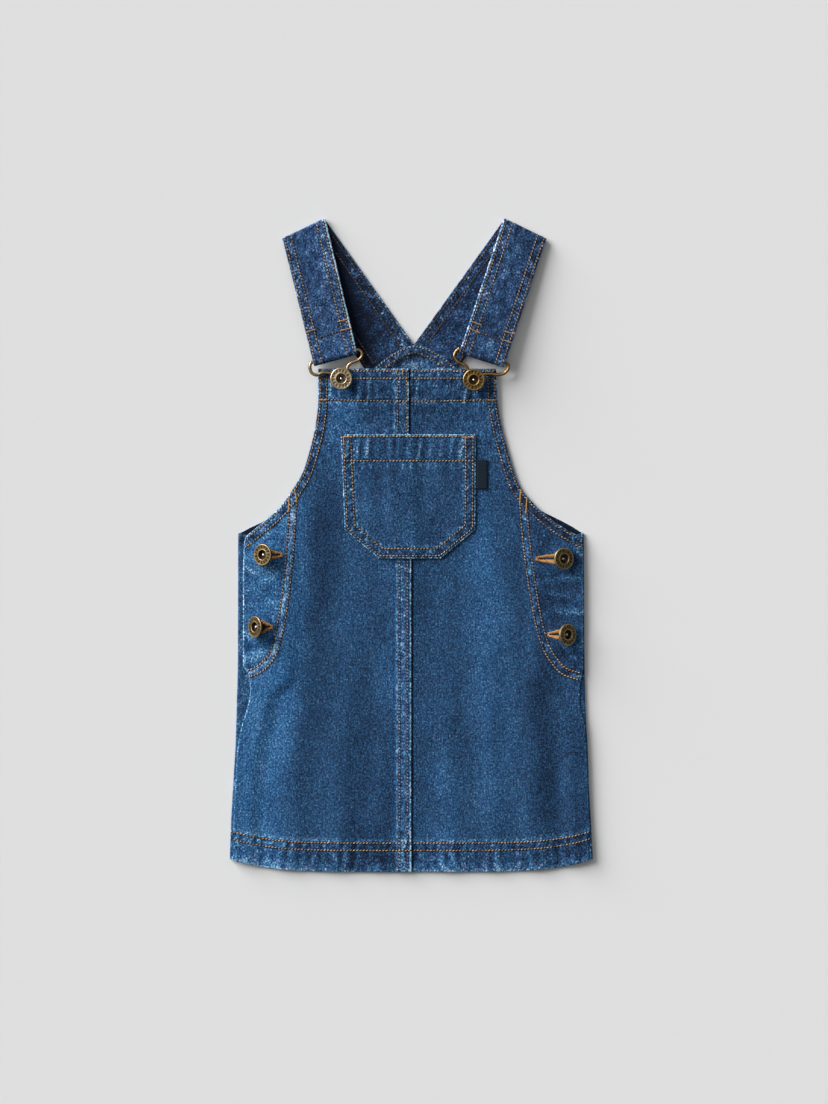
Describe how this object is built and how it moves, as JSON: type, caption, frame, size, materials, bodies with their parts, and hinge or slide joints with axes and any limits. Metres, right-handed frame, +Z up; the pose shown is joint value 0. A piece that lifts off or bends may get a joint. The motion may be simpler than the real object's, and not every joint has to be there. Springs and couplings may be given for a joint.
{
  "type": "child's denim pinafore dress",
  "caption": "Small child's sleeveless denim dress laid flat, with a bib, patch pocket, buckled shoulder straps and side openings that button.",
  "frame": {"origin": "on the surface that the dress lies on, under the middle of its outline: halfway across, and halfway from the hem to the tops of the straps", "axes": "+X across the laid dress to the right as seen from above, +Y from the hem to the shoulder straps, +Z up from the surface, from the back to the front of the dress"},
  "size_m": [0.2828, 0.5096, 0.0192],
  "materials": {
    "denim": "stonewashed cotton twill, worn pale at its folds and seams",
    "denim_inside": "stonewashed cotton twill",
    "denim_strap": "stonewashed cotton twill, darker indigo",
    "tape": "plain woven tape",
    "thread": "tan and orange topstitching thread",
    "wire": "antique brass wire",
    "button": "antique brass, worn bright at the rim",
    "tack": "bare steel tack tip"
  },
  "bodies": {
    "root": {"back_panel": "denim_inside", "back_neck_facing": "denim_inside", "front_panel_left": "denim", "front_panel_right": "denim", "chest_pocket": "denim", "pocket_tab": "tape", "strap_left": "denim_strap", "strap_right": "denim_strap", "buckle_left": "wire", "buckle_right": "wire", "bib_button_left": "button", "bib_button_right": "button", "side_button_left_upper": "button", "side_button_left_lower": "button", "side_button_right_upper": "button", "side_button_right_lower": "button"}
  },
  "joints": []
}
